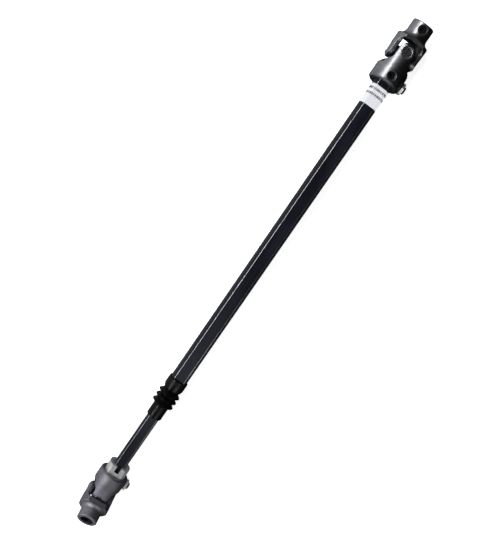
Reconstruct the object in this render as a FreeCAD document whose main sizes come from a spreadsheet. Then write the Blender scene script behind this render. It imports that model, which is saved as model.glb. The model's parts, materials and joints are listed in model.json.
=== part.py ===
import FreeCAD, Part
import math
import os

import Sketcher
from FreeCAD import Placement, Rotation, Vector

# A telescopic steering shaft with a universal joint at each end.
#
# While the pieces are placed, X runs along the shaft from the lower joint's centre to the upper joint's,
# the flats of the tube face +Z and -Z, and the side set screws of the two large hubs point to -Y.
# At the end the shaft is rolled about X until it lies on its large hubs and on the corners of the two
# jam nuts, and it moves so that the origin is at the middle of the footprint, on that surface.
#
# A yoke is drawn with its joint's centre at its own origin, its hub towards +X and its pins along Z.
# A bearing piece or a screw is drawn standing on its own +Z axis, measured from the shaft's axis.

doc = FreeCAD.newDocument("UniversalJointShaft")

# ---------------------------------------------------------------- driving dimensions, mm and degrees

DIMENSIONS = [
    # the whole shaft
    ("joint_span", 733.0),
    ("upper_bend", 12.0),
    ("upper_yaw", -1.0),
    ("lower_bend", 55.0),
    ("lower_yaw", 0.0),
    ("lying_roll", 38.1),
    # outer tube, 1 inch double D
    ("tube_radius", 12.7),
    ("tube_flat", 10.16),
    ("tube_bore_radius", 9.6),
    ("tube_bore_flat", 7.06),
    ("tube_start", 196.0),
    ("tube_end_gap", 24.0),
    ("tube_edge", 1.2),
    # inner bar, 3/4 inch double D
    ("bar_radius", 9.525),
    ("bar_flat", 6.985),
    ("bar_start", 24.0),
    ("bar_end", 480.0),
    ("bar_edge", 0.9),
    # paper label
    ("label_thick", 0.2),
    ("label_length", 27.0),
    ("label_gap", 6.2),
    # rubber bellows boot
    ("boot_cuff_radius", 14.7),
    ("boot_step_radius", 13.7),
    ("boot_nose_radius", 11.6),
    ("boot_peak_radius", 16.5),
    ("boot_valley_radius", 11.5),
    ("boot_wall", 1.2),
    ("boot_start", 147.0),
    ("boot_nose_end", 167.2),
    ("boot_lead", 3.6),
    ("boot_pitch", 8.6),
    ("boot_edge", 0.7),
    ("boot_tip", 0.35),
    ("boot_cuff_start", 199.0),
    ("boot_seat", 195.5),
    ("boot_end", 213.5),
    ("boot_gap", 0.3),
    # yokes
    ("yoke_radius", 22.0),
    ("hub_end", 41.6),
    ("hub_chamfer", 1.8),
    ("slot_half", 13.0),
    ("shaft_slot_bottom", 22.0),
    ("shaft_slot_round", 10.0),
    ("saddle_radius", 23.6),
    ("saddle_round", 6.0),
    ("ear_radius", 11.6),
    ("ear_flare", 8.5),
    ("flare_radius", 10.5),
    ("fork_half", 17.5),
    ("fork_trim_end", 34.0),
    ("ear_chamfer", 1.8),
    ("ear_round", 0.6),
    ("bevel_start", 7.0),
    ("bevel_radius", 18.4),
    ("upper_shoulder", 21.3),
    ("upper_neck_end", 28.3),
    ("lower_shoulder", 25.0),
    ("lower_neck_end", 31.5),
    ("shoulder_chamfer", 1.0),
    ("socket_radius", 15.0),
    ("upper_socket_end", 42.3),
    ("lower_socket_end", 44.5),
    ("socket_chamfer", 0.9),
    ("hub_bore_gap", 0.05),
    ("spline_radius", 9.1),
    ("spline_depth", 0.5),
    ("spline_half", 0.45),
    ("spline_count", 36),
    ("relief_radius", 10.2),
    ("relief_end", 25.0),
    # bearings
    ("cup_radius", 8.0),
    ("cup_bore", 6.8),
    ("cup_outside", 20.8),
    ("cup_floor", 19.0),
    ("cup_mouth", 12.5),
    ("cup_dish", 0.5),
    ("cup_dish_radius", 6.0),
    ("trunnion_radius", 5.0),
    ("trunnion_tip", 18.5),
    ("trunnion_chamfer", 0.8),
    ("boss_radius", 7.4),
    ("boss_face", 10.9),
    ("needle_radius", 0.86),
    ("needle_ring", 5.9),
    ("needle_start", 13.2),
    ("needle_length", 5.0),
    ("needle_count", 20),
    ("seal_inner", 5.15),
    ("seal_outer", 7.6),
    ("seal_start", 11.1),
    # set screws and jam nuts, 3/8 inch
    ("screw_radius", 4.7),
    ("screw_hole_radius", 4.763),
    ("screw_station", 32.6),
    ("screw_seat_radius", 6.2),
    ("hub_seat", 21.0),
    ("socket_seat", 13.5),
    ("side_screw_top", 28.5),
    ("screw_point", 0.9),
    ("screw_hex_half", 2.4),
    ("screw_hex_depth", 2.6),
    ("flush_screw_top", 19.8),
    ("nut_half", 7.15),
    ("nut_height", 3.8),
    ("end_screw_set_in", 7.2),
    ("end_screw_base", 9.8),
    ("end_screw_top", 14.3),
    # zinc collar between the inner bar and the lower hub
    ("collar_head", 15.0),
    ("collar_head_radius", 16.0),
    ("collar_head_flat", 12.3),
    ("collar_slot_half", 3.3),
    ("collar_slot_depth", 9.5),
    ("collar_start", 24.0),
    ("collar_gap", 0.04),
    ("collar_edge", 0.8),
]

sheet = doc.addObject("Spreadsheet::Sheet", "Sizes")
for row, (name, number) in enumerate(DIMENSIONS, start=1):
    sheet.set(f"A{row}", name)
    sheet.set(f"B{row}", str(number))
    sheet.setAlias(f"B{row}", name)
doc.recompute()

ALIASES = {name for name, number in DIMENSIONS}


def cell(expression):
    """An expression of plain aliases, written the way FreeCAD needs it, as in Sizes.tube_radius."""
    written = ""
    word = ""
    for letter in f"{expression} ":
        if letter.isalnum() or letter in "_.":
            word += letter
            continue
        written += f"Sizes.{word}" if word in ALIASES else word
        written += letter
        word = ""
    return written.strip()


def value(expression):
    """The number that an expression of the sheet's cells gives."""
    return float(sheet.evalExpression(cell(expression)))


# ---------------------------------------------------------------- sketches

PARTS = []


def new_body(label):
    body = doc.addObject("PartDesign::Body", label)
    body.Label = label
    PARTS.append(body)
    return body


def new_sketch(body, name, plane, offset=None):
    """A sketch on one of the body's own origin planes, moved along its normal by offset."""
    sketch = body.newObject("Sketcher::SketchObject", f"{body.Name}_{name}")
    support = next(f for f in body.Origin.OriginFeatures if f.Role == plane)
    sketch.AttachmentSupport = (support, [""])
    sketch.MapMode = "FlatFace"
    if offset is not None:
        sketch.setExpression("AttachmentOffset.Base.z", cell(offset))
    return sketch


def tie(sketch, constraint, expression):
    index = sketch.addConstraint(constraint)
    sketch.setExpression(f"Constraints[{index}]", cell(expression))


def pin_point(sketch, edge, end, x, y):
    """Ties a point of an edge to the sheet, measured from the sketch's origin."""
    for kind, expression in (("DistanceX", x), ("DistanceY", y)):
        constraint = Sketcher.Constraint(kind, -1, 1, edge, end, value(expression))
        tie(sketch, constraint, expression)


def arc_middle(start, end, radius, side):
    """The middle of the short arc from start to end, on the right of the way there where side is 1."""
    chord = end - start
    half = chord.Length / 2
    across = Vector(chord.y, -chord.x, 0).normalize()
    rise = radius - math.sqrt(max(radius * radius - half * half, 0.0))
    return start + chord * 0.5 + across * (rise * side)


def end_at(sketch, edge, point):
    """Which end of the edge lies at the point: arcs always run anticlockwise."""
    return 1 if (sketch.getPoint(edge, 1) - point).Length < 1e-5 else 2


def draw_loop(sketch, corners):
    """A closed outline. A corner is (x, y) at the end of a line, or (x, y, radius, side) of an arc."""
    points = [Vector(value(c[0]), value(c[1]), 0) for c in corners]
    first = sketch.GeometryCount
    for number, corner in enumerate(corners):
        start = points[number - 1]
        end = points[number]
        if len(corner) == 2:
            sketch.addGeometry(Part.LineSegment(start, end), False)
        else:
            middle = arc_middle(start, end, value(corner[2]), corner[3])
            sketch.addGeometry(Part.Arc(start, middle, end), False)
    for number, corner in enumerate(corners):
        edge = first + number
        following = first + (number + 1) % len(corners)
        here = end_at(sketch, edge, points[number])
        there = end_at(sketch, following, points[number])
        sketch.addConstraint(Sketcher.Constraint("Coincident", edge, here, following, there))
        pin_point(sketch, edge, here, corner[0], corner[1])
        if len(corner) == 4:
            tie(sketch, Sketcher.Constraint("Radius", edge, value(corner[2])), corner[2])


def draw_circle(sketch, x, y, radius):
    centre = Vector(value(x), value(y), 0)
    edge = sketch.addGeometry(Part.Circle(centre, Vector(0, 0, 1), value(radius)), False)
    pin_point(sketch, edge, 3, x, y)
    tie(sketch, Sketcher.Constraint("Radius", edge, value(radius)), radius)


def double_d(radius, flat):
    """A round section with two flats, which face along the sketch's second axis."""
    half = f"sqrt(({radius})^2 - ({flat})^2)"
    return [
        (half, flat),
        (half, f"-({flat})", radius, -1),
        (f"-{half}", f"-({flat})"),
        (f"-{half}", flat, radius, -1),
    ]


def hexagon(half):
    """A hexagon from half its width across the flats."""
    side = f"{half} / sqrt(3)"
    corner = f"2 * {half} / sqrt(3)"
    return [
        (half, side),
        ("0", corner),
        (f"-{half}", side),
        (f"-{half}", f"-{side}"),
        ("0", f"-{corner}"),
        (half, f"-{side}"),
    ]


# ---------------------------------------------------------------- features


def pad(body, sketch, length):
    feature = body.newObject("PartDesign::Pad", f"{sketch.Name}_pad")
    feature.Profile = sketch
    feature.setExpression("Length", cell(length))
    return feature


def turn(body, sketch, axis):
    feature = body.newObject("PartDesign::Revolution", f"{sketch.Name}_turned")
    feature.Profile = sketch
    feature.ReferenceAxis = (sketch, [axis])
    feature.Angle = 360
    return feature


def cut(body, kind, sketch, **settings):
    """A Pocket or a Groove, which has to take material away."""
    doc.recompute()
    before = body.Shape.Volume
    feature = body.newObject(f"PartDesign::{kind}", f"{sketch.Name}_cut")
    feature.Profile = sketch
    for name, setting in settings.items():
        setattr(feature, name, setting)
    doc.recompute()
    if not body.Shape.Volume < before - 0.01:
        raise RuntimeError(f"{feature.Name} cuts nothing")
    return feature


def cut_through(body, sketch, side="Symmetric", towards_normal=False):
    return cut(body, "Pocket", sketch, Type="ThroughAll", SideType=side, Reversed=towards_normal)


def cut_depth(body, sketch, depth, towards_normal=False):
    feature = cut(body, "Pocket", sketch, Type="Length", Length=value(depth), Reversed=towards_normal)
    feature.setExpression("Length", cell(depth))
    return feature


def dress(body, kind, size, edges):
    """A Chamfer or a Fillet on those edges of the body as it is now."""
    if not edges:
        raise RuntimeError(f"{body.Name} has no edges for {size}")
    base = body.Tip
    feature = body.newObject(f"PartDesign::{kind}", f"{body.Name}_dressed")
    feature.Base = (base, edges)
    feature.setExpression("Size" if kind == "Chamfer" else "Radius", cell(size))
    doc.recompute()
    return feature


def long_edges(body, radius, flat):
    """The edges along X where the flats of a double D section meet its round sides."""
    side = value(f"sqrt(({radius})^2 - ({flat})^2)")
    level = value(flat)
    names = []
    for number, edge in enumerate(body.Shape.Edges, start=1):
        box = edge.BoundBox
        at_side = abs(abs(box.YMin) - side) < 1e-3
        at_flat = abs(abs(box.ZMin) - level) < 1e-3
        if at_side and at_flat and box.XLength > 1:
            names.append(f"Edge{number}")
    return names


# ---------------------------------------------------------------- tube, bar, label, boot, collar


def make_outer_tube():
    body = new_body("outer_tube")
    section = new_sketch(body, "section", "YZ_Plane", "tube_start")
    draw_loop(section, double_d("tube_radius", "tube_flat"))
    draw_loop(section, double_d("tube_bore_radius", "tube_bore_flat"))
    pad(body, section, "joint_span - tube_end_gap - tube_start")
    doc.recompute()
    dress(body, "Fillet", "tube_edge", long_edges(body, "tube_radius", "tube_flat"))


def make_inner_bar():
    body = new_body("inner_bar")
    section = new_sketch(body, "section", "YZ_Plane", "bar_start")
    draw_loop(section, double_d("bar_radius", "bar_flat"))
    pad(body, section, "bar_end - bar_start")
    doc.recompute()
    dress(body, "Fillet", "bar_edge", long_edges(body, "bar_radius", "bar_flat"))


def make_label():
    body = new_body("label")
    section = new_sketch(body, "section", "YZ_Plane", "joint_span - hub_end - label_gap - label_length")
    outside = ("tube_radius + label_thick", "tube_flat + label_thick")
    draw_loop(section, double_d(*outside))
    draw_loop(section, double_d("tube_radius", "tube_flat"))
    pad(body, section, "label_length")
    doc.recompute()
    dress(body, "Fillet", "tube_edge", long_edges(body, "tube_radius", "tube_flat"))
    dress(body, "Fillet", "tube_edge + label_thick", long_edges(body, *outside))


def make_bellows_boot():
    """A lower cuff that slides on the bar, three sharp folds, and an upper cuff that grips the tube."""
    body = new_body("bellows_boot")
    outline = new_sketch(body, "outline", "XY_Plane")
    folds = range(3)
    outside = [
        ("boot_start", "0"),
        ("boot_start", "boot_nose_radius - boot_edge"),
        ("boot_start + boot_edge", "boot_nose_radius"),
        ("boot_nose_end - boot_edge", "boot_nose_radius"),
        ("boot_nose_end", "boot_valley_radius"),
    ]
    inside = []
    for fold in folds:
        crest = f"boot_nose_end + boot_lead + {fold} * boot_pitch"
        outside.append((crest, "boot_peak_radius"))
        outside.append((f"{crest} + boot_tip", "boot_peak_radius"))
        outside.append((f"{crest} + boot_pitch - boot_lead", "boot_valley_radius"))
        inside.append((crest, "boot_peak_radius - boot_wall"))
        inside.append((f"{crest} + boot_pitch - boot_lead", "boot_valley_radius - boot_wall"))
    outside.append(("boot_cuff_start - 3 * boot_edge", "boot_step_radius"))
    outside.append(("boot_cuff_start", "boot_step_radius"))
    outside.append(("boot_cuff_start + boot_edge", "boot_cuff_radius"))
    outside.append(("boot_end - boot_edge", "boot_cuff_radius"))
    outside.append(("boot_end", "boot_cuff_radius - boot_edge"))
    outside.append(("boot_end", "bar_radius + boot_gap"))
    inside.append(("boot_nose_end", "bar_radius + boot_gap"))
    inside.append(("boot_nose_end", "0"))
    last = inside[2 * len(folds) - 1]
    order = [inside[number] for number in (5, 4, 3, 2, 1, 0)]
    draw_loop(outline, outside + [(last[0], "bar_radius + boot_gap")] + order + inside[6:])
    turn(body, outline, "H_Axis")
    seat = new_sketch(body, "seat", "YZ_Plane", "boot_end")
    draw_loop(seat, double_d("tube_radius", "tube_flat"))
    cut_depth(body, seat, "boot_end - boot_seat")
    nose = new_sketch(body, "nose", "YZ_Plane", "boot_nose_end + boot_edge")
    draw_loop(nose, double_d("bar_radius + boot_gap", "bar_flat + boot_gap"))
    cut_through(body, nose, "One side")


def make_collar():
    """The slotted reducer: a double D spigot in the lower hub, and a larger double D head above it."""
    body = new_body("lower_collar")
    spigot = new_sketch(body, "spigot", "YZ_Plane", "collar_start")
    draw_loop(spigot, double_d("tube_radius", "tube_flat"))
    pad(body, spigot, "hub_end - collar_start")
    head = new_sketch(body, "head", "YZ_Plane", "hub_end")
    draw_loop(head, double_d("collar_head_radius", "collar_head_flat"))
    pad(body, head, "collar_head")
    doc.recompute()
    head_edges = long_edges(body, "collar_head_radius", "collar_head_flat")
    dress(body, "Fillet", "collar_edge", head_edges)
    bore = new_sketch(body, "bore", "YZ_Plane")
    draw_loop(bore, double_d("bar_radius + collar_gap", "bar_flat + collar_gap"))
    cut_through(body, bore, "One side", towards_normal=True)
    slot_end = "hub_end + collar_head - collar_slot_depth + collar_slot_half"
    round_end = new_sketch(body, "slot_end", "XY_Plane")
    draw_circle(round_end, slot_end, "0", "collar_slot_half")
    cut_through(body, round_end)
    slot = new_sketch(body, "slot", "XY_Plane")
    draw_loop(
        slot,
        [
            (slot_end, "-collar_slot_half"),
            ("hub_end + collar_head + 1", "-collar_slot_half"),
            ("hub_end + collar_head + 1", "collar_slot_half"),
            (slot_end, "collar_slot_half"),
        ],
    )
    cut_through(body, slot)


# ---------------------------------------------------------------- yokes

TURNED_EARS = [
    ("-ear_radius", "0"),
    ("-ear_radius", "bevel_radius"),
    ("-bevel_start", "yoke_radius"),
]
LARGE_HUB = [
    ("hub_end - hub_chamfer", "yoke_radius"),
    ("hub_end", "yoke_radius - hub_chamfer"),
    ("hub_end", "0"),
]


def small_hub(kind):
    """The shoulder, the neck and the splined socket of an end yoke."""
    shoulder = f"{kind}_shoulder"
    neck_end = f"{kind}_neck_end"
    socket_end = f"{kind}_socket_end"
    drop = "(yoke_radius - shoulder_chamfer - socket_radius)"
    neck_curve = f"(({neck_end} - {shoulder})^2 + {drop}^2) / (2 * {drop})"
    return [
        (f"{shoulder} - shoulder_chamfer", "yoke_radius"),
        (shoulder, "yoke_radius - shoulder_chamfer"),
        (neck_end, "socket_radius", neck_curve, 1),
        (f"{socket_end} - socket_chamfer", "socket_radius"),
        (socket_end, "socket_radius - socket_chamfer"),
        (socket_end, "0"),
    ]


def ear_inner_edges(body, end):
    """The long edges between an ear's inner face and its sides, which the other yoke's ears pass."""
    inner = value("slot_half")
    side = value("ear_radius")
    names = []
    for number, edge in enumerate(body.Shape.Edges, start=1):
        box = edge.BoundBox
        flat = box.ZLength < 1e-4 and abs(abs(box.ZMin) - inner) < 1e-3
        beside = max(abs(box.YMin), abs(box.YMax)) > side - 1e-3
        if flat and beside and box.XMin < end and box.XLength > 1:
            names.append(f"Edge{number}")
    return names


def ear_outer_edges(body):
    """The edges between an ear's sides and the turned outside of the yoke."""
    outer = value("yoke_radius")
    names = []
    for number, edge in enumerate(body.Shape.Edges, start=1):
        middle = edge.valueAt((edge.FirstParameter + edge.LastParameter) / 2)
        on_outside = abs(math.hypot(middle.y, middle.z) - outer) < 1e-3
        if on_outside and abs(middle.y) > 1 and middle.x < value("ear_flare + 0.8 * flare_radius"):
            names.append(f"Edge{number}")
    return names


def mill_slot(body):
    """The straight slot between a shaft yoke's ears."""
    slot = new_sketch(body, "slot", "XZ_Plane")
    straight_end = "shaft_slot_bottom - shaft_slot_round"
    draw_loop(
        slot,
        [
            ("-2 * ear_radius", "slot_half"),
            (straight_end, "slot_half"),
            ("shaft_slot_bottom", "slot_half - shaft_slot_round", "shaft_slot_round", -1),
            ("shaft_slot_bottom", "shaft_slot_round - slot_half"),
            (straight_end, "-slot_half", "shaft_slot_round", -1),
            ("-2 * ear_radius", "-slot_half"),
        ],
    )
    cut_through(body, slot)
    return straight_end


def turn_saddle(body):
    """The room between an end yoke's ears, turned about its own pins' axis."""
    saddle = new_sketch(body, "saddle", "XZ_Plane")
    straight_end = "saddle_radius - saddle_round"
    draw_loop(
        saddle,
        [
            ("0", "slot_half"),
            (straight_end, "slot_half"),
            ("saddle_radius", "slot_half - saddle_round", "saddle_round", -1),
            ("saddle_radius", "saddle_round - slot_half"),
            (straight_end, "-slot_half", "saddle_round", -1),
            ("0", "-slot_half"),
        ],
    )
    cut(body, "Groove", saddle, ReferenceAxis=(saddle, ["V_Axis"]), Angle=360)
    return straight_end


def make_fork(body, hub, hollow_out):
    """A turned blank, milled into two ears with a pin bore through both."""
    blank = new_sketch(body, "blank", "XY_Plane")
    draw_loop(blank, TURNED_EARS + hub)
    turn(body, blank, "H_Axis")
    straight_end = hollow_out(body)
    sides = new_sketch(body, "sides", "XY_Plane")
    flare_end = "ear_flare + flare_radius"
    flare_side = "ear_radius + flare_radius"
    clear = "yoke_radius + 3"
    draw_loop(
        sides,
        [
            (flare_end, flare_side),
            ("ear_flare", "ear_radius", "flare_radius", -1),
            ("0", "ear_radius"),
            ("-ear_radius", "0", "ear_radius", 1),
            ("0", "-ear_radius", "ear_radius", 1),
            ("ear_flare", "-ear_radius"),
            (flare_end, f"-({flare_side})", "flare_radius", -1),
            (flare_end, f"-({clear})"),
            ("-2 * ear_radius", f"-({clear})"),
            ("-2 * ear_radius", clear),
            (flare_end, clear),
        ],
    )
    cut_through(body, sides)
    dress(body, "Chamfer", "ear_chamfer", ear_inner_edges(body, value(straight_end)))
    dress(body, "Fillet", "ear_round", ear_outer_edges(body))
    pins = new_sketch(body, "pins", "XY_Plane")
    draw_circle(pins, "0", "0", "cup_radius")
    cut_through(body, pins)


def drill_screw(body, name, plane, station, towards_normal, seat=None):
    """A set screw's hole, from the shaft's axis out through one wall of the hub, with a flat seat."""
    hole = new_sketch(body, name, plane)
    draw_circle(hole, station, "0", "screw_hole_radius")
    cut_through(body, hole, "One side", towards_normal)
    if seat:
        level = seat if towards_normal else f"-{seat}"
        spot = new_sketch(body, f"{name}_seat", plane, level)
        draw_circle(spot, station, "0", "screw_seat_radius")
        cut_through(body, spot, "One side", towards_normal)


def make_shaft_yoke(label, side_towards_minus_y, flush_screw):
    body = new_body(label)
    make_fork(body, LARGE_HUB, mill_slot)
    bore = new_sketch(body, "bore", "YZ_Plane")
    draw_loop(bore, double_d("tube_radius + hub_bore_gap", "tube_flat + hub_bore_gap"))
    cut_through(body, bore, "One side", towards_normal=True)
    drill_screw(body, "side_screw", "XZ_Plane", "screw_station", side_towards_minus_y)
    if flush_screw:
        drill_screw(body, "flush_screw", "XY_Plane", "screw_station", True, "hub_seat")
    return body


def make_end_yoke(label, kind, screw_towards_minus_y):
    body = new_body(label)
    make_fork(body, small_hub(kind), turn_saddle)
    for side in ("", "-"):
        trim = new_sketch(body, "trim", "XY_Plane")
        draw_loop(
            trim,
            [
                ("ear_flare", f"{side}fork_half"),
                ("fork_trim_end", f"{side}fork_half"),
                ("fork_trim_end", f"{side}(yoke_radius + 3)"),
                ("ear_flare", f"{side}(yoke_radius + 3)"),
            ],
        )
        cut_through(body, trim)
    bore = new_sketch(body, "bore", "YZ_Plane")
    draw_circle(bore, "0", "0", "spline_radius")
    cut_through(body, bore, "One side", towards_normal=True)
    groove = new_sketch(body, "spline", "YZ_Plane")
    draw_loop(
        groove,
        [
            ("spline_half", "spline_radius - 0.3"),
            ("0.6 * spline_half", "spline_radius + spline_depth"),
            ("-0.6 * spline_half", "spline_radius + spline_depth"),
            ("-spline_half", "spline_radius - 0.3"),
        ],
    )
    single = cut_through(body, groove, "One side", towards_normal=True)
    before = body.Shape.Volume
    pattern = body.newObject("PartDesign::PolarPattern", f"{label}_splines")
    pattern.Originals = [single]
    pattern.Axis = (groove, ["N_Axis"])
    pattern.Angle = 360
    pattern.setExpression("Occurrences", cell("spline_count"))
    body.Tip = pattern
    doc.recompute()
    if not body.Shape.Volume < before - 10:
        raise RuntimeError(f"{label}: the spline pattern cuts nothing")
    relief = new_sketch(body, "relief", "YZ_Plane")
    draw_circle(relief, "0", "0", "relief_radius")
    cut_depth(body, relief, "relief_end", towards_normal=True)
    station = f"{kind}_socket_end - end_screw_set_in"
    drill_screw(body, "screw", "XZ_Plane", station, screw_towards_minus_y, "socket_seat")
    return body


# ---------------------------------------------------------------- crosses and bearings


def make_cross(label):
    """Two crossing pins, along Z and along Y, each with a boss that the seals run against."""
    body = new_body(label)
    end = "trunnion_tip"
    small = "trunnion_radius - trunnion_chamfer"
    half = [
        ("boss_radius", "boss_face"),
        ("trunnion_radius", "boss_face"),
        ("trunnion_radius", f"{end} - trunnion_chamfer"),
        (small, end),
        ("0", end),
    ]
    mirrored = [(x, f"-({y})") for x, y in reversed(half)]
    for name, plane in (("standing_pin", "XZ_Plane"), ("lying_pin", "XY_Plane")):
        outline = new_sketch(body, name, plane)
        draw_loop(outline, mirrored + half)
        turn(body, outline, "V_Axis")
    return body


def make_cup(label):
    """A drawn bearing cup, closed at its outer end, with a dished face."""
    body = new_body(label)
    outline = new_sketch(body, "outline", "XZ_Plane")
    dished = "cup_outside - cup_dish"
    draw_loop(
        outline,
        [
            ("0", dished),
            ("cup_dish_radius", dished),
            ("cup_dish_radius + cup_dish", "cup_outside"),
            ("cup_radius - cup_dish", "cup_outside"),
            ("cup_radius", dished),
            ("cup_radius", "cup_mouth"),
            ("cup_bore", "cup_mouth"),
            ("cup_bore", "cup_floor"),
            ("0", "cup_floor"),
        ],
    )
    turn(body, outline, "V_Axis")
    return body


def make_needles(label):
    """A full ring of rollers between a trunnion and its cup, as separate solids."""
    body = new_body(label)
    body.AllowCompound = True
    section = new_sketch(body, "section", "XY_Plane", "needle_start")
    draw_circle(section, "needle_ring", "0", "needle_radius")
    single = pad(body, section, "needle_length")
    doc.recompute()
    pattern = body.newObject("PartDesign::PolarPattern", f"{label}_ring")
    pattern.Originals = [single]
    pattern.Axis = (section, ["N_Axis"])
    pattern.Angle = 360
    pattern.setExpression("Occurrences", cell("needle_count"))
    body.Tip = pattern
    return body


def make_seal(label):
    body = new_body(label)
    outline = new_sketch(body, "outline", "XZ_Plane")
    draw_loop(
        outline,
        [
            ("seal_inner", "seal_start"),
            ("seal_outer - 0.4", "seal_start"),
            ("seal_outer", "seal_start + 0.4"),
            ("seal_outer", "cup_mouth"),
            ("seal_inner", "cup_mouth"),
        ],
    )
    turn(body, outline, "V_Axis")
    return body


# ---------------------------------------------------------------- fasteners


def make_screw(label, base, top):
    """A socket set screw that stands between two distances from the shaft's axis."""
    body = new_body(label)
    outline = new_sketch(body, "outline", "XZ_Plane")
    draw_loop(
        outline,
        [
            ("0", base),
            ("screw_radius - screw_point", base),
            ("screw_radius", f"{base} + screw_point"),
            ("screw_radius", f"{top} - screw_point / 2"),
            ("screw_radius - screw_point / 2", top),
            ("0", top),
        ],
    )
    turn(body, outline, "V_Axis")
    socket = new_sketch(body, "socket", "XY_Plane", top)
    draw_loop(socket, hexagon("screw_hex_half"))
    cut_depth(body, socket, "screw_hex_depth")
    return body


def make_jam_nut(label):
    body = new_body(label)
    section = new_sketch(body, "section", "XY_Plane", "yoke_radius")
    draw_loop(section, hexagon("nut_half"))
    draw_circle(section, "0", "0", "screw_radius")
    pad(body, section, "nut_height")
    corners = new_sketch(body, "corners", "XZ_Plane")
    top = "yoke_radius + nut_height"
    draw_loop(
        corners,
        [
            ("0.97 * nut_half", top),
            ("1.3 * nut_half", top),
            ("1.3 * nut_half", f"{top} - 0.17 * nut_half"),
        ],
    )
    cut(body, "Groove", corners, ReferenceAxis=(corners, ["V_Axis"]), Angle=360)
    return body


# ---------------------------------------------------------------- assembly

ALONG_X = Vector(1, 0, 0)
ALONG_Y = Vector(0, 1, 0)
ALONG_Z = Vector(0, 0, 1)
UPRIGHT = Rotation()
HALF_TURN = Rotation(ALONG_Z, 180)
PINS_ALONG_Y = Rotation(ALONG_X, 90)

# A joint's two yokes: the shaft-side one is straight, and the end one is bent up and turned sideways.
LOWER_CENTRE = Vector(0, 0, 0)
UPPER_CENTRE = Vector(value("joint_span"), 0, 0)
LOWER_TURN = Rotation(ALONG_Z, value("lower_yaw"))
UPPER_TURN = Rotation(ALONG_Z, -value("upper_yaw"))
LOWER_END = LOWER_TURN * Rotation(ALONG_Y, value("lower_bend")) * HALF_TURN * PINS_ALONG_Y
UPPER_END = UPPER_TURN * Rotation(ALONG_Y, -value("upper_bend")) * PINS_ALONG_Y

FACING_MINUS_Y = Rotation(ALONG_X, 90)
FACING_PLUS_Y = Rotation(ALONG_X, -90)


def place(body, centre, rotation, turned=UPRIGHT, station="0"):
    """Puts a piece on a yoke: turned about the yoke's axis, at a distance along it from the joint."""
    along = rotation.multVec(ALONG_X * value(station))
    body.Placement = Placement(centre + along, rotation * turned)


def make_bearings(prefix, centre, rotation):
    """The cup, rollers and seal of each of a yoke's two ears, at +Z and -Z of the yoke."""
    for side, turned in (("a", UPRIGHT), ("b", Rotation(ALONG_X, 180))):
        place(make_cup(f"{prefix}_cup_{side}"), centre, rotation, turned)
        place(make_needles(f"{prefix}_needles_{side}"), centre, rotation, turned)
        place(make_seal(f"{prefix}_seal_{side}"), centre, rotation, turned)


make_outer_tube()
make_inner_bar()
make_label()
make_bellows_boot()
make_collar()

place(make_shaft_yoke("lower_shaft_yoke", True, False), LOWER_CENTRE, UPRIGHT)
place(make_shaft_yoke("upper_shaft_yoke", False, True), UPPER_CENTRE, HALF_TURN)
place(make_end_yoke("lower_end_yoke", "lower", True), LOWER_CENTRE, LOWER_END)
place(make_end_yoke("upper_end_yoke", "upper", False), UPPER_CENTRE, UPPER_END)
place(make_cross("lower_cross"), LOWER_CENTRE, LOWER_TURN)
place(make_cross("upper_cross"), UPPER_CENTRE, UPPER_TURN)
make_bearings("lower_shaft", LOWER_CENTRE, UPRIGHT)
make_bearings("upper_shaft", UPPER_CENTRE, HALF_TURN)
make_bearings("lower_end", LOWER_CENTRE, LOWER_END)
make_bearings("upper_end", UPPER_CENTRE, UPPER_END)

side_base = "tube_radius + hub_bore_gap"
for prefix, centre, rotation, facing in (
    ("lower_hub", LOWER_CENTRE, UPRIGHT, FACING_MINUS_Y),
    ("upper_hub", UPPER_CENTRE, HALF_TURN, FACING_PLUS_Y),
):
    screw = make_screw(f"{prefix}_side_screw", side_base, "side_screw_top")
    place(screw, centre, rotation, facing, "screw_station")
    place(make_jam_nut(f"{prefix}_jam_nut"), centre, rotation, facing, "screw_station")
flush = make_screw("upper_hub_flush_screw", "tube_flat + hub_bore_gap", "flush_screw_top")
place(flush, UPPER_CENTRE, HALF_TURN, UPRIGHT, "screw_station")
for prefix, centre, rotation, facing, station in (
    ("lower_end", LOWER_CENTRE, LOWER_END, FACING_MINUS_Y, "lower_socket_end - end_screw_set_in"),
    ("upper_end", UPPER_CENTRE, UPPER_END, FACING_PLUS_Y, "upper_socket_end - end_screw_set_in"),
):
    screw = make_screw(f"{prefix}_screw", "end_screw_base", "end_screw_top")
    place(screw, centre, rotation, facing, station)

doc.recompute()

# ---------------------------------------------------------------- origin, checks and files

lying = Placement(Vector(), Rotation(ALONG_X, value("lying_roll")))
for body in PARTS:
    body.Placement = lying * body.Placement
whole = FreeCAD.BoundBox()
for body in PARTS:
    whole.add(body.Shape.optimalBoundingBox())
shift = Vector(-whole.Center.x, -whole.Center.y, -whole.ZMin)
for body in PARTS:
    body.Placement = Placement(shift, Rotation()) * body.Placement
doc.recompute()
print("origin shift", *(round(part, 4) for part in shift))
print("whole size", *(round(side, 2) for side in (whole.XLength, whole.YLength, whole.ZLength)))

for item in doc.Objects:
    if "Invalid" in item.State or "Error" in item.State:
        raise RuntimeError(f"{item.Name} failed: {item.State}")
for body in PARTS:
    if body.Shape.isNull() or not body.Shape.isValid():
        raise RuntimeError(f"{body.Label} has no valid shape")

os.makedirs("parts", exist_ok=True)
for body in PARTS:
    body.Shape.exportStep(f"parts/{body.Label}.step")
print(len(PARTS), "parts written")
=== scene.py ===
import bpy
import json
import math

from mathutils import Matrix, Vector


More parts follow.
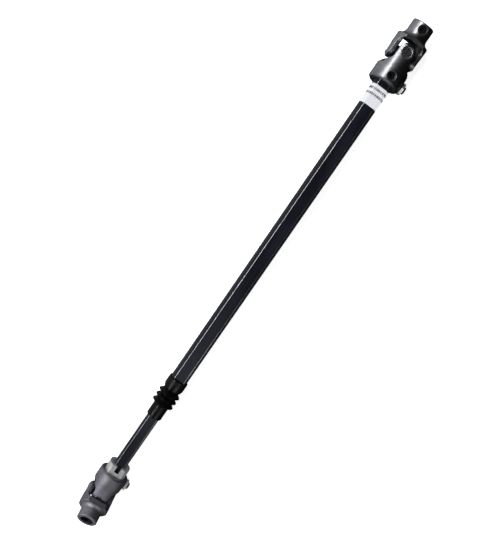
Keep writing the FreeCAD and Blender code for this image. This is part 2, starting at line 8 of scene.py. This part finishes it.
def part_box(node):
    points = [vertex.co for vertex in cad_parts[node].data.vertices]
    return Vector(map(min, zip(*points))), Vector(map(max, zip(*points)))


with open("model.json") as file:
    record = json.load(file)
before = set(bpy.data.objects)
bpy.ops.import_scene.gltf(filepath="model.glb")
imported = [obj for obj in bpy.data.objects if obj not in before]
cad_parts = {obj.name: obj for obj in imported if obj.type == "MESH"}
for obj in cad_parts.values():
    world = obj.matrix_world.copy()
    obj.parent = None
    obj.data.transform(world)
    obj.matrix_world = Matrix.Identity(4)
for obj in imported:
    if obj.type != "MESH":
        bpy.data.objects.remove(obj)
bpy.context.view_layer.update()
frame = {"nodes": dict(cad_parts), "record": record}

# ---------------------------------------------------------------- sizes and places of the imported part

MM = 0.001
TUBE_RADIUS = 12.7 * MM
TUBE_FLAT = 10.16 * MM
BAR_RADIUS = 9.525 * MM
BAR_FLAT = 6.985 * MM
SLOT_HALF = 13.0 * MM
SLOT_BOTTOM = 22.0 * MM
SADDLE_RADIUS = 23.6 * MM
BORE_RADIUS = 9.1 * MM
COLLAR_SLOT_HALF = 3.3 * MM
COLLAR_SLOT_START = 47.1 * MM
LYING_ROLL = math.radians(38.1)
ALONG = Vector((1, 0, 0))
FRONT = Vector((0, -math.sin(LYING_ROLL), math.cos(LYING_ROLL)))
LEFT = FRONT.cross(ALONG)
SHAFT_AXES = Matrix((ALONG, LEFT, FRONT)).transposed()


def middle(node):
    """The middle of a node's box."""
    low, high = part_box(node)
    return (low + high) / 2


lower_centre = middle("lower_cross")
upper_centre = middle("upper_cross")
mounts = {mount["name"]: mount for mount in frame["record"]["mounts"]}


def yoke_axes(axis, pins):
    """A yoke's own frame as a rotation: its hub along X, its pins along Z."""
    first = Vector(axis).normalized()
    third = (pins - first * pins.dot(first)).normalized()
    second = third.cross(first)
    return Matrix((first, second, third)).transposed()


LOWER_SOCKET = mounts["lower_socket"]["axis"]
UPPER_SOCKET = mounts["upper_socket"]["axis"]
YOKES = {
    "lower_shaft_yoke": (lower_centre, yoke_axes(ALONG, FRONT)),
    "upper_shaft_yoke": (upper_centre, yoke_axes(-ALONG, FRONT)),
    "lower_end_yoke": (lower_centre, yoke_axes(LOWER_SOCKET, LEFT)),
    "upper_end_yoke": (upper_centre, yoke_axes(UPPER_SOCKET, -LEFT)),
}

# ---------------------------------------------------------------- camera

# The camera looks along a line from the shaft's front: it stands off a station on the shaft, in metres from
# the lower joint's centre, turned towards the shaft's left and tilted along the shaft.
FOCAL_SHARE = 1.077636
SENSOR = 36.0
CAMERA_DISTANCE = 0.8098
CAMERA_STATION = 0.4702
CAMERA_TURN = math.radians(8.9)
CAMERA_TILT = math.radians(-9.53)
SHAFT_ANGLE = math.radians(34.60)
SHIFT = (0.0377, 0.0636)


def make_camera():
    """Looks at the front flat from a little to its left, with the shaft running up to the right."""
    away = FRONT * math.cos(CAMERA_TURN) + LEFT * math.sin(CAMERA_TURN)
    foot = lower_centre + ALONG * CAMERA_STATION
    forward = -away * math.cos(CAMERA_TILT) + ALONG * math.sin(CAMERA_TILT)
    shaft_way = (ALONG - forward * ALONG.dot(forward)).normalized()
    across = forward.cross(shaft_way)
    right = shaft_way * math.sin(SHAFT_ANGLE) + across * math.cos(SHAFT_ANGLE)
    upward = shaft_way * math.cos(SHAFT_ANGLE) - across * math.sin(SHAFT_ANGLE)
    data = bpy.data.cameras.new("camera")
    data.sensor_width = SENSOR
    data.lens = FOCAL_SHARE * SENSOR
    data.shift_x, data.shift_y = SHIFT
    data.clip_start = 0.01
    camera = bpy.data.objects.new("camera", data)
    bpy.context.scene.collection.objects.link(camera)
    turned = Matrix((right, upward, -forward)).transposed().to_4x4()
    camera.matrix_world = Matrix.Translation(foot + away * CAMERA_DISTANCE) @ turned
    bpy.context.scene.camera = camera


make_camera()

# ---------------------------------------------------------------- light and floor


def area_light(name, degrees, distance, length, width, power, station=0.0):
    """A soft box parallel to the shaft, at an angle from its front towards its left."""
    data = bpy.data.lights.new(name, "AREA")
    data.shape = "RECTANGLE"
    data.size = length
    data.size_y = width
    data.energy = power
    light = bpy.data.objects.new(name, data)
    bpy.context.scene.collection.objects.link(light)
    angle = math.radians(degrees)
    target = (lower_centre + upper_centre) / 2 + ALONG * station
    away = FRONT * math.cos(angle) + LEFT * math.sin(angle)
    across = ALONG.cross(away)
    turned = Matrix((ALONG, across, away)).transposed().to_4x4()
    light.matrix_world = Matrix.Translation(target + away * distance) @ turned


# Each wash brightens the room towards one way: from where it starts and where it is full, as cosines of
# the angle to that way, and its strength before and after.
ROOM_WASHES = (
    (LEFT, -0.1, 0.9, 0.006, 0.55),
    (-ALONG, 0.80, 0.99, 0.0, 0.45),
)
ROOM_TINT = (0.95, 0.97, 1.0, 1)
FLOOR_HALF = 6.0
FLOOR_GLOW = 0.85
DOME_RADIUS = 5.5
DOME_GLOW = 0.9
PALE = (0.9, 0.9, 0.9, 1)


def make_world():
    """A soft grey room, lighter on the shaft's left and past its lower end, dark on its right."""
    world = bpy.data.worlds.new("room")
    bpy.context.scene.world = world
    world.use_nodes = True
    nodes = world.node_tree.nodes
    links = world.node_tree.links
    background = nodes["Background"]
    place = nodes.new("ShaderNodeTexCoord")
    total = nodes.new("ShaderNodeMath")
    for number, (way, start, full, dark, bright) in enumerate(ROOM_WASHES):
        facing = nodes.new("ShaderNodeVectorMath")
        facing.operation = "DOT_PRODUCT"
        facing.inputs[1].default_value = way
        links.new(place.outputs["Generated"], facing.inputs[0])
        ramp = nodes.new("ShaderNodeMapRange")
        ramp.interpolation_type = "SMOOTHSTEP"
        ramp.inputs["From Min"].default_value = start
        ramp.inputs["From Max"].default_value = full
        ramp.inputs["To Min"].default_value = dark
        ramp.inputs["To Max"].default_value = bright
        links.new(facing.outputs["Value"], ramp.inputs["Value"])
        links.new(ramp.outputs["Result"], total.inputs[number])
    links.new(total.outputs[0], background.inputs["Strength"])
    background.inputs["Color"].default_value = ROOM_TINT


def pale_material(name, glow):
    """A matt off-white that glows a little, so that it stays pale."""
    material = bpy.data.materials.new(name)
    material.use_nodes = True
    surface = material.node_tree.nodes["Principled BSDF"]
    surface.inputs["Base Color"].default_value = PALE
    surface.inputs["Roughness"].default_value = 1.0
    surface.inputs["Specular IOR Level"].default_value = 0.0
    surface.inputs["Emission Color"].default_value = (1, 1, 1, 1)
    surface.inputs["Emission Strength"].default_value = glow
    return material


def make_floor():
    """A plain pale floor, which the steel doesn't mirror."""
    corners = [(x * FLOOR_HALF, y * FLOOR_HALF, 0) for x, y in ((-1, -1), (1, -1), (1, 1), (-1, 1))]
    mesh = bpy.data.meshes.new("floor")
    mesh.from_pydata(corners, [], [(0, 1, 2, 3)])
    floor = bpy.data.objects.new("floor", mesh)
    bpy.context.scene.collection.objects.link(floor)
    floor.visible_glossy = False
    mesh.materials.append(pale_material("pale_floor", FLOOR_GLOW))


def make_backdrop():
    """A pale dome over the floor's edge, seen from low down only, which lights nothing."""
    bpy.ops.mesh.primitive_uv_sphere_add(radius=DOME_RADIUS, segments=48, ring_count=24)
    dome = bpy.context.active_object
    dome.name = "backdrop"
    dome.visible_glossy = False
    dome.visible_diffuse = False
    dome.data.materials.append(pale_material("pale_backdrop", DOME_GLOW))


make_world()
make_floor()
make_backdrop()
area_light("left_strip", degrees=40, distance=1.3, length=1.9, width=0.22, power=17)
area_light("lower_fill", degrees=-30, distance=0.8, length=0.35, width=0.5, power=1.6, station=-0.42)
bpy.context.scene.view_settings.view_transform = "Standard"
bpy.context.scene.view_settings.look = "None"

# ---------------------------------------------------------------- material helpers


class Painter:
    """Builds one material's nodes: every call makes a node and returns its output socket."""

    def __init__(self, name):
        self.material = bpy.data.materials.new(name)
        self.material.use_nodes = True
        self.tree = self.material.node_tree
        self.surface = self.tree.nodes["Principled BSDF"]

    def put(self, socket, value):
        """Links another node's output to the socket, or sets it."""
        if isinstance(value, bpy.types.NodeSocket):
            self.tree.links.new(value, socket)
        elif value is not None:
            socket.default_value = value

    def node(self, kind, output=0, settings=None, **inputs):
        """Makes a node; an input is given by its name, or as i and its number."""
        made = self.tree.nodes.new(kind)
        for name, setting in (settings or {}).items():
            setattr(made, name, setting)
        for name, value in inputs.items():
            key = int(name[1:]) if name[0] == "i" and name[1:].isdigit() else name.replace("_", " ")
            self.put(made.inputs[key], value)
        return made.outputs[output]

    def place(self):
        return self.node("ShaderNodeTexCoord", "Object")

    def local(self, centre, axes):
        """Coordinates in a frame with that centre and those axes."""
        mapping = self.tree.nodes.new("ShaderNodeMapping")
        mapping.vector_type = "TEXTURE"
        mapping.inputs["Location"].default_value = centre
        mapping.inputs["Rotation"].default_value = axes.to_euler()
        self.put(mapping.inputs["Vector"], self.place())
        return mapping.outputs[0]

    def split(self, vector):
        made = self.tree.nodes.new("ShaderNodeSeparateXYZ")
        self.put(made.inputs[0], vector)
        return made.outputs[0], made.outputs[1], made.outputs[2]

    def stretched(self, vector, scale):
        return self.node("ShaderNodeMapping", Vector=vector, Scale=scale)

    def noise(self, vector, scale, detail=3.0, roughness=0.55):
        return self.node("ShaderNodeTexNoise", Vector=vector, Scale=scale, Detail=detail, Roughness=roughness)

    def cells(self, vector, scale):
        return self.node("ShaderNodeTexVoronoi", Vector=vector, Scale=scale)

    def math(self, operation, first, second=0.0):
        return self.node("ShaderNodeMath", settings={"operation": operation}, i0=first, i1=second)

    def span(self, value, low, high, to_low=0.0, to_high=1.0):
        """Goes smoothly from to_low to to_high as the value goes from low to high."""
        made = self.tree.nodes.new("ShaderNodeMapRange")
        made.interpolation_type = "SMOOTHSTEP"
        sockets = ("Value", "From Min", "From Max", "To Min", "To Max")
        for key, number in zip(sockets, (value, low, high, to_low, to_high)):
            self.put(made.inputs[key], number)
        return made.outputs[0]

    def mix(self, factor, first, second):
        made = self.tree.nodes.new("ShaderNodeMix")
        made.data_type = "RGBA"
        self.put(made.inputs[0], factor)
        self.put(made.inputs[6], first)
        self.put(made.inputs[7], second)
        return made.outputs[2]

    def product(self, first, second):
        return self.math("MULTIPLY", first, second)

    def distance(self, first, second):
        """How far a point is from zero, from its two coordinates."""
        squares = self.math("ADD", self.product(first, first), self.product(second, second))
        return self.math("SQRT", squares)

    def below(self, value, limit):
        return self.math("LESS_THAN", value, limit)

    def within(self, value, half):
        """One where the value is less than half away from zero."""
        return self.below(self.math("ABSOLUTE", value), half)

    def bump(self, height, strength, distance, normal=None):
        return self.node("ShaderNodeBump", Height=height, Strength=strength, Distance=distance, Normal=normal)

    def rounded(self, radius):
        """Softens the sharp machined edges."""
        return self.node("ShaderNodeBevel", settings={"samples": 6}, Radius=radius)

    def finish(self, **inputs):
        for name, value in inputs.items():
            self.put(self.surface.inputs[name.replace("_", " ")], value)
        return self.material


# Painted shade: the pocket between a yoke's ears and the bore of its hub are coloured dark grey, as where
# shade falls.
POCKET_SHADE = (0.035, 0.035, 0.04, 1)
BORE_SHADE = (0.03, 0.03, 0.033, 1)


def machined_steel(name, centre, axes, saddle, steel, roughness):
    """Turned steel: fine rings round the hub, a little oil haze, small marks, and painted shade in the pocket
    between the ears and in the bore.
    """
    light, dark, tint = steel
    paint = Painter(name)
    place = paint.local(centre, axes)
    along, across, up = paint.split(place)
    between_ears = paint.within(up, SLOT_HALF + 0.2 * MM)
    reach, deepest = (paint.distance(along, across), SADDLE_RADIUS) if saddle else (along, SLOT_BOTTOM)
    # The pocket between the ears, which gets painted shade and a rougher finish.
    shaded_pocket = paint.product(between_ears, paint.below(reach, deepest + 0.15 * MM))
    # The inside of the hub's bore, which gets painted shade.
    shaded_bore = paint.below(paint.distance(up, across), BORE_RADIUS + 0.7 * MM)
    rings = paint.noise(paint.stretched(place, (1600, 25, 25)), 1.0, 4)
    haze = paint.noise(place, 60, 4)
    marks = paint.noise(paint.stretched(place, (180, 900, 500)), 1.0, 2)
    marked = paint.span(marks, 0.66, 0.72)
    worn = paint.mix(paint.span(haze, 0.4, 0.62), (*dark, 1), (*light, 1))
    colour = paint.mix(paint.product(marked, 0.35), worn, (*tint, 1))
    # Painted shade in the pocket between the ears.
    colour = paint.mix(paint.product(shaded_pocket, 0.85), colour, POCKET_SHADE)
    # Painted shade in the bore.
    colour = paint.mix(paint.product(shaded_bore, 0.8), colour, BORE_SHADE)
    rough = paint.span(rings, 0.3, 0.7, roughness - 0.06, roughness + 0.06)
    rough = paint.math("ADD", rough, paint.product(paint.span(haze, 0.3, 0.7), 0.05))
    rough = paint.math("ADD", rough, paint.product(shaded_pocket, 0.15))
    soft = paint.rounded(0.35 * MM)
    normal = paint.bump(rings, 0.08, 0.05 * MM, soft)
    normal = paint.bump(haze, 0.12, 0.3 * MM, normal)
    return paint.finish(Base_Color=colour, Metallic=1.0, Roughness=rough, Normal=normal)


PAINT_DARK = (0.006, 0.0067, 0.0105, 1)
PAINT_LIGHT = (0.0095, 0.0105, 0.017, 1)
PAINT_RUB = (0.03, 0.032, 0.038, 1)
BARE_EDGE = (0.36, 0.36, 0.39, 1)


def black_paint(name, radius, flat):
    """Satin black paint with fine orange peel and a few rubs, worn to bright steel along the edges."""
    paint = Painter(name)
    place = paint.local(lower_centre, SHAFT_AXES)
    _, side, up = paint.split(place)
    off_side = paint.math("SUBTRACT", paint.math("ABSOLUTE", side), math.sqrt(radius**2 - flat**2))
    off_up = paint.math("SUBTRACT", paint.math("ABSOLUTE", up), flat)
    scuffs = paint.noise(paint.stretched(place, (50, 700, 700)), 1.0, 3)
    ragged = paint.math("ADD", paint.distance(off_side, off_up), paint.product(scuffs, 0.5 * MM))
    bare = paint.span(ragged, 0.40 * MM, 0.62 * MM, 1.0, 0.0)
    peel = paint.noise(place, 900, 2)
    patches = paint.noise(paint.stretched(place, (14, 90, 90)), 1.0, 4)
    rubs = paint.noise(paint.stretched(place, (60, 1400, 1400)), 1.0, 3)
    rubbed = paint.product(paint.span(rubs, 0.64, 0.72), 0.5)
    base = paint.mix(paint.span(patches, 0.3, 0.7), PAINT_DARK, PAINT_LIGHT)
    colour = paint.mix(rubbed, base, PAINT_RUB)
    colour = paint.mix(bare, colour, BARE_EDGE)
    rough = paint.span(patches, 0.25, 0.75, 0.27, 0.36)
    shine = paint.span(bare, 0.0, 1.0, 0.27, 0.5)
    normal = paint.bump(peel, 0.10, 0.05 * MM)
    return paint.finish(
        Base_Color=colour, Metallic=bare, Roughness=rough, Normal=normal, Specular_IOR_Level=shine
    )


def zinc_plate(name):
    """Bright zinc with a fine spangle and a faint warm and blue cast, with painted shade in the collar's
    slot.
    """
    paint = Painter(name)
    place = paint.place()
    grain = paint.cells(place, 900)
    cast = paint.noise(place, 120, 3)
    along, side, _ = paint.split(paint.local(lower_centre, SHAFT_AXES))
    past_start = paint.math("GREATER_THAN", along, COLLAR_SLOT_START - 0.1 * MM)
    # The collar's slot, which gets painted shade.
    shaded_slot = paint.product(paint.within(side, COLLAR_SLOT_HALF + 0.1 * MM), past_start)
    colour = paint.mix(paint.span(cast, 0.35, 0.65), (0.62, 0.64, 0.65, 1), (0.76, 0.76, 0.73, 1))
    # Painted shade: the slot is coloured near black.
    colour = paint.mix(paint.product(shaded_slot, 0.95), colour, (0.01, 0.01, 0.01, 1))
    rough = paint.span(grain, 0.0, 0.6, 0.28, 0.42)
    normal = paint.bump(grain, 0.08, 0.03 * MM, paint.rounded(0.3 * MM))
    return paint.finish(Base_Color=colour, Metallic=0.85, Roughness=rough, Normal=normal)


def black_oxide(name):
    """Black oxide with a faint uneven bloom, on the set screws."""
    paint = Painter(name)
    bloom = paint.noise(paint.place(), 400, 4)
    colour = paint.mix(paint.span(bloom, 0.3, 0.7), (0.012, 0.012, 0.014, 1), (0.03, 0.03, 0.034, 1))
    rough = paint.span(bloom, 0.3, 0.7, 0.3, 0.5)
    normal = paint.bump(bloom, 0.1, 0.05 * MM, paint.rounded(0.2 * MM))
    return paint.finish(Base_Color=colour, Metallic=0.85, Roughness=rough, Normal=normal)


def ground_steel(name):
    """Ground bearing steel with fine lines, on the crosses, cups and needles."""
    paint = Painter(name)
    lines = paint.noise(paint.stretched(paint.place(), (900, 900, 60)), 1.0, 3)
    colour = paint.mix(paint.span(lines, 0.3, 0.7), (0.40, 0.40, 0.41, 1), (0.54, 0.54, 0.55, 1))
    rough = paint.span(lines, 0.3, 0.7, 0.22, 0.38)
    normal = paint.bump(lines, 0.06, 0.03 * MM, paint.rounded(0.2 * MM))
    return paint.finish(Base_Color=colour, Metallic=1.0, Roughness=rough, Normal=normal)


def rubber(name, roughness):
    """Black rubber with a fine skin and a little dust."""
    paint = Painter(name)
    place = paint.place()
    skin = paint.noise(place, 700, 4)
    dust = paint.noise(place, 90, 5)
    dusted = paint.product(paint.span(dust, 0.5, 0.8), 0.4)
    colour = paint.mix(dusted, (0.0010, 0.0010, 0.0016, 1), (0.008, 0.008, 0.010, 1))
    rough = paint.span(dust, 0.3, 0.8, roughness, roughness + 0.3)
    normal = paint.bump(skin, 0.12, 0.08 * MM)
    return paint.finish(Base_Color=colour, Roughness=rough, Normal=normal, Specular_IOR_Level=0.16)


PRINT_START = 0.42
PRINT_ROWS = 2.0
ROW_STEP = 7.0 * MM
DASH_RATE = 1100
INK = (0.03, 0.03, 0.04, 1)


def label_paper(name):
    """A white sticker with rows of plain dark dashes where print would be."""
    paint = Painter(name)
    low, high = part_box("label")
    place = paint.local(lower_centre, SHAFT_AXES)
    along, side, _ = paint.split(place)
    printed_from = low.x - lower_centre.x + PRINT_START * (high.x - low.x)
    row = paint.math("DIVIDE", paint.math("SUBTRACT", along, printed_from), ROW_STEP)
    in_row = paint.math("FRACT", row)
    inked_row = paint.product(paint.math("GREATER_THAN", in_row, 0.25), paint.below(in_row, 0.68))
    row_start = paint.product(paint.math("FLOOR", row), 7.3)
    spread = paint.math("ADD", paint.product(side, DASH_RATE), row_start)
    one_dimension = {"noise_dimensions": "1D"}
    dash = paint.node("ShaderNodeTexNoise", settings=one_dimension, W=spread, Scale=1.0, Detail=1.0)
    inked = paint.product(inked_row, paint.math("GREATER_THAN", dash, 0.46))
    inside = paint.product(paint.math("GREATER_THAN", row, 0.0), paint.below(row, PRINT_ROWS))
    ink = paint.product(paint.product(inked, inside), 0.9)
    fibre = paint.noise(place, 1500, 3)
    paper = paint.mix(paint.span(fibre, 0.3, 0.7), (0.78, 0.80, 0.85, 1), (0.86, 0.87, 0.9, 1))
    colour = paint.mix(ink, paper, INK)
    normal = paint.bump(fibre, 0.05, 0.05 * MM)
    return paint.finish(Base_Color=colour, Roughness=0.55, Normal=normal)


# ---------------------------------------------------------------- materials on the CAD nodes

# The light, dark and marked tones of each joint's steel, and its roughness.
STEELS = {
    "upper": (((0.33, 0.335, 0.345), (0.24, 0.245, 0.255), (0.13, 0.13, 0.135)), 0.33),
    "lower": (((0.30, 0.295, 0.325), (0.22, 0.215, 0.245), (0.13, 0.125, 0.145)), 0.52),
}

slot_materials = {
    "black_steel": black_paint("tube_paint", TUBE_RADIUS, TUBE_FLAT),
    "zinc_steel": zinc_plate("zinc_plate"),
    "black_oxide_steel": black_oxide("black_oxide"),
    "bearing_steel": ground_steel("ground_steel"),
    "boot_rubber": rubber("boot_rubber", 0.22),
    "seal_rubber": rubber("seal_rubber", 0.5),
    "label_paper": label_paper("label_paper"),
}
node_materials = {"inner_bar": black_paint("bar_paint", BAR_RADIUS, BAR_FLAT)}
for yoke, (centre, axes) in YOKES.items():
    steel, roughness = STEELS[yoke.split("_")[0]]
    saddle = yoke.endswith("end_yoke")
    node_materials[yoke] = machined_steel(f"{yoke}_steel", centre, axes, saddle, steel, roughness)
for cross in ("lower_cross", "upper_cross"):
    node_materials[cross] = slot_materials["bearing_steel"]

for entry in frame["record"]["subparts"]:
    node = frame["nodes"][entry["node"]]
    material = node_materials.get(entry["node"]) or slot_materials[entry["material_slot"]]
    node.data.materials.clear()
    node.data.materials.append(material)
